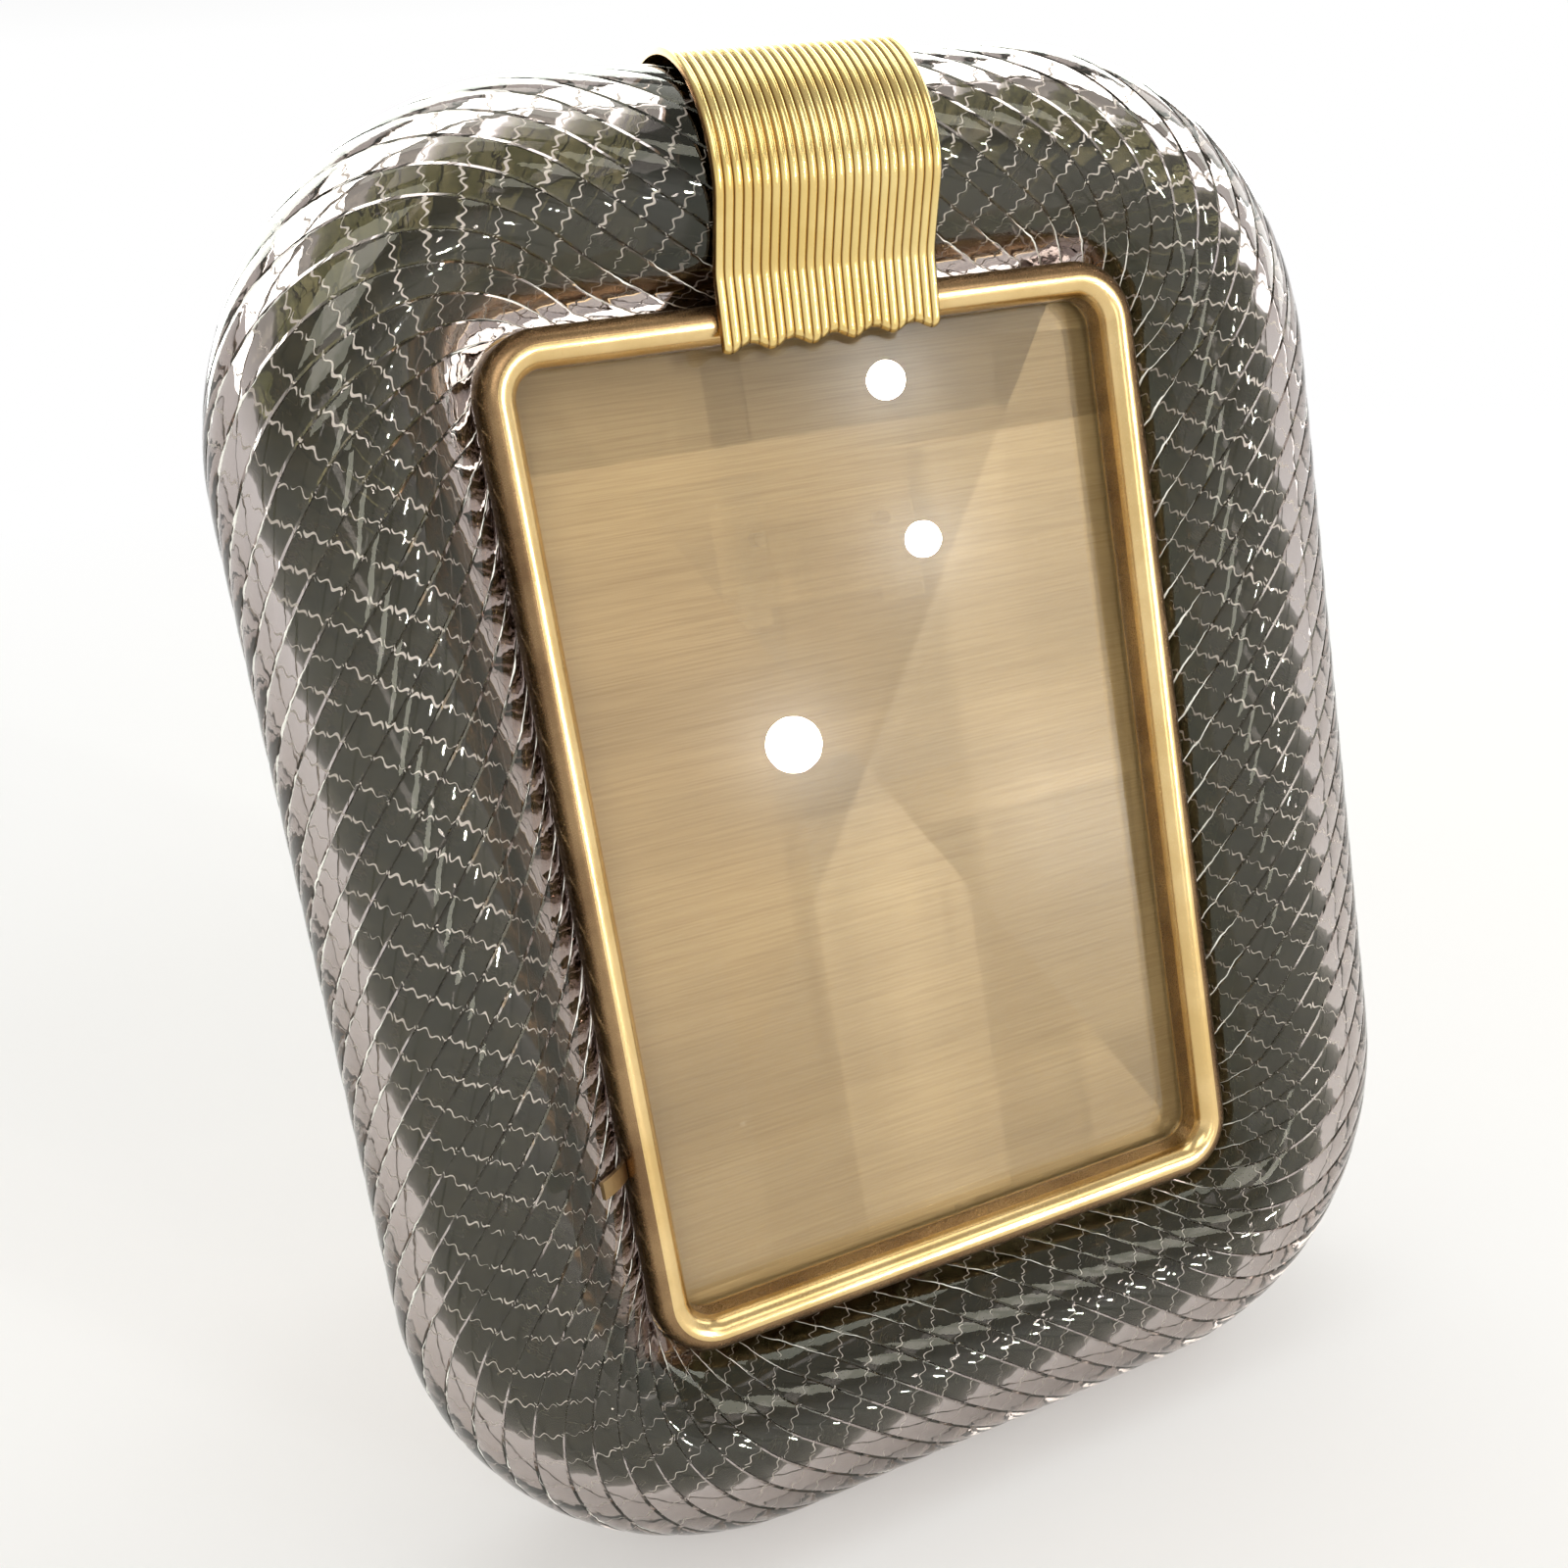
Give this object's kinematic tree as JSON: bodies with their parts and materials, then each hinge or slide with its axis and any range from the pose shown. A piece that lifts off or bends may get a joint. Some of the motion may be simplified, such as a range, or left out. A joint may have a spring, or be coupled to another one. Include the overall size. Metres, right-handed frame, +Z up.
{
  "type": "glass picture frame",
  "caption": "Upright table picture frame with a thick twisted glass ring, a brass bezel, a reeded brass clip over the top, a glass pane, a wooden back board and a hinged strut.",
  "frame": {"origin": "on the table, in the middle of the footprint between the ring's front and the strut's foot", "axes": "+Z up, +X to the right as seen from the front, +Y to the back, where the strut stands; the picture faces -Y and leans back by 12 degrees"},
  "size_m": [0.1818, 0.117, 0.2264],
  "materials": {
    "smoky_glass": "polished, solid, slightly smoky grey-green",
    "clear_glass": "clear float glass",
    "brass": "polished, lightly worn",
    "dark_brass": "dull, aged",
    "wood": "plain, fine straight grain, thin clear coat"
  },
  "bodies": {
    "panel": {"glass_ring": "smoky_glass", "reeded_clip": "brass", "bezel": "brass", "ring_tabs": "brass", "glass_pane": "clear_glass", "back_board": "wood", "rear_frame": "brass", "rear_frame_screws": "dark_brass", "clip_screws": "dark_brass", "turn_button_screws": "dark_brass", "hinge_board_leaf": "brass", "board_leaf_screws": "dark_brass", "hinge_pin": "dark_brass"},
    "strut": {"strut": "wood", "hinge_strut_leaf": "brass", "strut_leaf_screws": "dark_brass"},
    "turn_button_left_low": {"turn_button_left_low": "brass"},
    "turn_button_left_high": {"turn_button_left_high": "brass"},
    "turn_button_right_low": {"turn_button_right_low": "brass"},
    "turn_button_right_high": {"turn_button_right_high": "brass"}
  },
  "joints": [
    {"name": "strut_hinge", "type": "hinge", "parent": "panel", "child": "strut", "pos_m": [0, -0.0058, 0.13944], "axis": [1, 0, 0], "range_deg": [-30, 0]},
    {"name": "turn_button_left_low_pivot", "type": "hinge", "parent": "panel", "child": "turn_button_left_low", "pos_m": [-0.0524, -0.02394, 0.06662], "axis": [0, 0.9781, -0.2079], "range_deg": [-90, 90]},
    {"name": "turn_button_left_high_pivot", "type": "hinge", "parent": "panel", "child": "turn_button_left_high", "pos_m": [-0.0524, -0.00522, 0.15465], "axis": [0, 0.9781, -0.2079], "range_deg": [-90, 90]},
    {"name": "turn_button_right_low_pivot", "type": "hinge", "parent": "panel", "child": "turn_button_right_low", "pos_m": [0.0524, -0.02394, 0.06662], "axis": [0, 0.9781, -0.2079], "range_deg": [-90, 90]},
    {"name": "turn_button_right_high_pivot", "type": "hinge", "parent": "panel", "child": "turn_button_right_high", "pos_m": [0.0524, -0.00522, 0.15465], "axis": [0, 0.9781, -0.2079], "range_deg": [-90, 90]}
  ]
}
